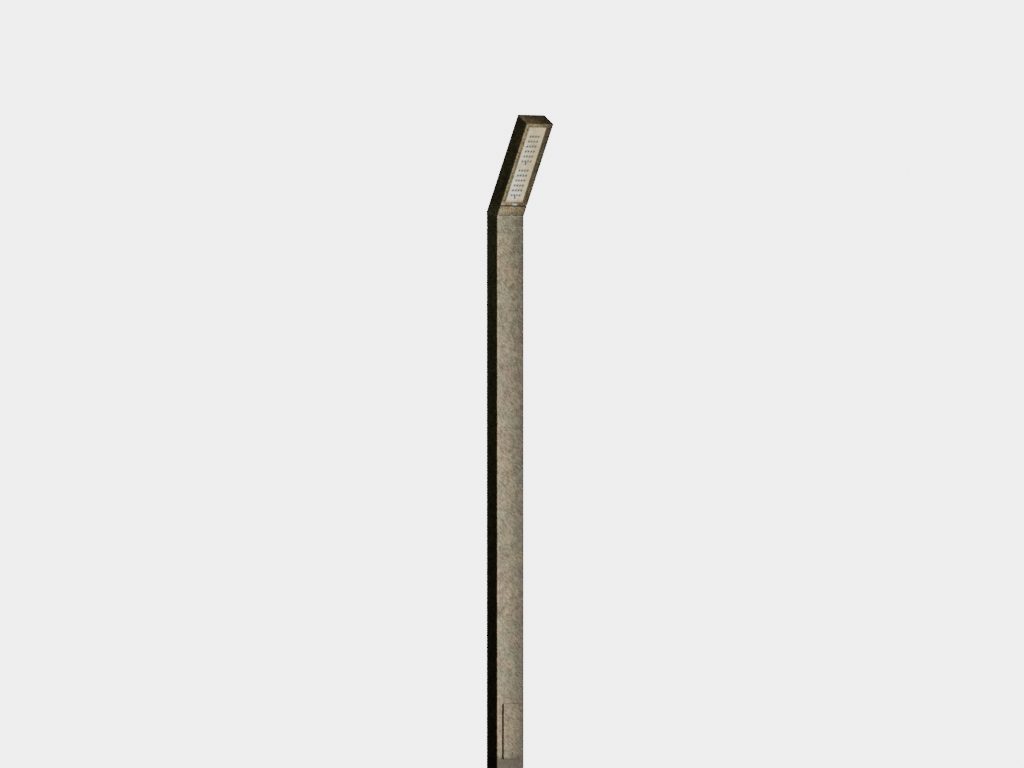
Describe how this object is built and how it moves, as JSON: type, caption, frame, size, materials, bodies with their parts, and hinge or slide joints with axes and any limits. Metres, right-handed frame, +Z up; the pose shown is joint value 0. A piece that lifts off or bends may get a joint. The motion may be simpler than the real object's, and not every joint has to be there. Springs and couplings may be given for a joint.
{
  "type": "street lamp post",
  "caption": "Rectangular hollow street lamp post with a mitred, forward-leaning LED head, hinged glazed lid, lift-off service door and bolted base plate.",
  "frame": {"origin": "on the post's axis, at the underside of the base plate", "axes": "+Z up along the post, -Y towards the front, where the door is and where the head leans, +X across the post"},
  "size_m": [0.4, 0.583, 4.5],
  "materials": {
    "coated_steel": "weathered stone-effect powder coat, mottled grey-brown",
    "galvanised": "dull galvanised",
    "stainless": "plain stainless",
    "rubber": "matt black",
    "dark_plastic": "moulded, fine grain",
    "pale_plastic": "moulded, fine grain",
    "panel_cream": "cream coated sheet",
    "board_white": "white solder mask",
    "lens_clear": "moulded clear lens plate",
    "cover_glass": "flat tempered glass",
    "cable_black": "matt cable sheath",
    "earth_sheath": "green cable sheath"
  },
  "bodies": {
    "post": {"base_plate": "coated_steel", "gusset_right": "coated_steel", "gusset_back": "coated_steel", "gusset_left": "coated_steel", "gusset_front": "coated_steel", "post_tube": "coated_steel", "spigot": "galvanised", "elbow_sleeve": "coated_steel", "set_screw_left_front": "stainless", "set_screw_left_back": "stainless", "set_screw_right_front": "stainless", "set_screw_right_back": "stainless", "door_bridge_top": "galvanised", "door_bridge_bottom": "galvanised", "equipment_board": "pale_plastic", "fuse_box": "dark_plastic", "terminal_block": "pale_plastic", "earth_stud": "stainless", "earth_nut": "stainless", "earth_lead": "earth_sheath", "riser_cable": "cable_black", "head_shell": "coated_steel", "bulkhead": "galvanised", "cable_gland": "dark_plastic", "vent_plug": "dark_plastic", "gear_tray": "galvanised", "led_driver": "pale_plastic", "surge_protector": "dark_plastic", "head_terminal_block": "pale_plastic", "isolator_socket": "dark_plastic", "lid_gasket": "rubber", "hinge_bracket_left": "galvanised", "hinge_bracket_right": "galvanised"},
    "door": {"door_cover": "coated_steel", "door_gasket": "rubber"},
    "door_screw_top": {"door_screw_top": "coated_steel"},
    "door_screw_bottom": {"door_screw_bottom": "coated_steel"},
    "lid_screw_left": {"lid_screw_left": "coated_steel"},
    "lid_screw_right": {"lid_screw_right": "coated_steel"},
    "fuse_holder": {"fuse_carrier": "pale_plastic", "fuse_link": "stainless"},
    "lid": {"lid_frame": "coated_steel", "glass_bezel": "coated_steel", "hinge_rod": "stainless", "glass_gasket": "rubber", "lid_glass": "cover_glass", "led_tray": "panel_cream", "reflector_panel": "panel_cream", "isolator_plug": "dark_plastic", "name_plate": "pale_plastic", "led_board_lower": "board_white", "lens_array_lower": "lens_clear", "led_connector_lower": "dark_plastic", "led_board_upper": "board_white", "lens_array_upper": "lens_clear", "led_connector_upper": "dark_plastic"}
  },
  "joints": [
    {"name": "door_lift_off", "type": "slide", "parent": "post", "child": "door", "axis": [0, -1, 0], "range_m": [0, 0.12]},
    {"name": "door_screw_top_turn", "type": "hinge", "parent": "door", "child": "door_screw_top", "pos_m": [0, -0.076, 0.8555], "axis": [0, 1, 0], "continuous": true},
    {"name": "door_screw_bottom_turn", "type": "hinge", "parent": "door", "child": "door_screw_bottom", "pos_m": [0, -0.076, 0.5795], "axis": [0, 1, 0], "continuous": true},
    {"name": "fuse_pull", "type": "slide", "parent": "post", "child": "fuse_holder", "axis": [0, -1, 0], "range_m": [0, 0.04]},
    {"name": "lid_hinge", "type": "hinge", "parent": "post", "child": "lid", "pos_m": [0, -0.09322, 3.96009], "axis": [1, 0, 0], "range_deg": [0, 100]},
    {"name": "lid_screw_left_turn", "type": "hinge", "parent": "lid", "child": "lid_screw_left", "pos_m": [-0.08, -0.37725, 4.43004], "axis": [0, 0.866, 0.5], "continuous": true},
    {"name": "lid_screw_right_turn", "type": "hinge", "parent": "lid", "child": "lid_screw_right", "pos_m": [0.08, -0.37725, 4.43004], "axis": [0, 0.866, 0.5], "continuous": true}
  ]
}
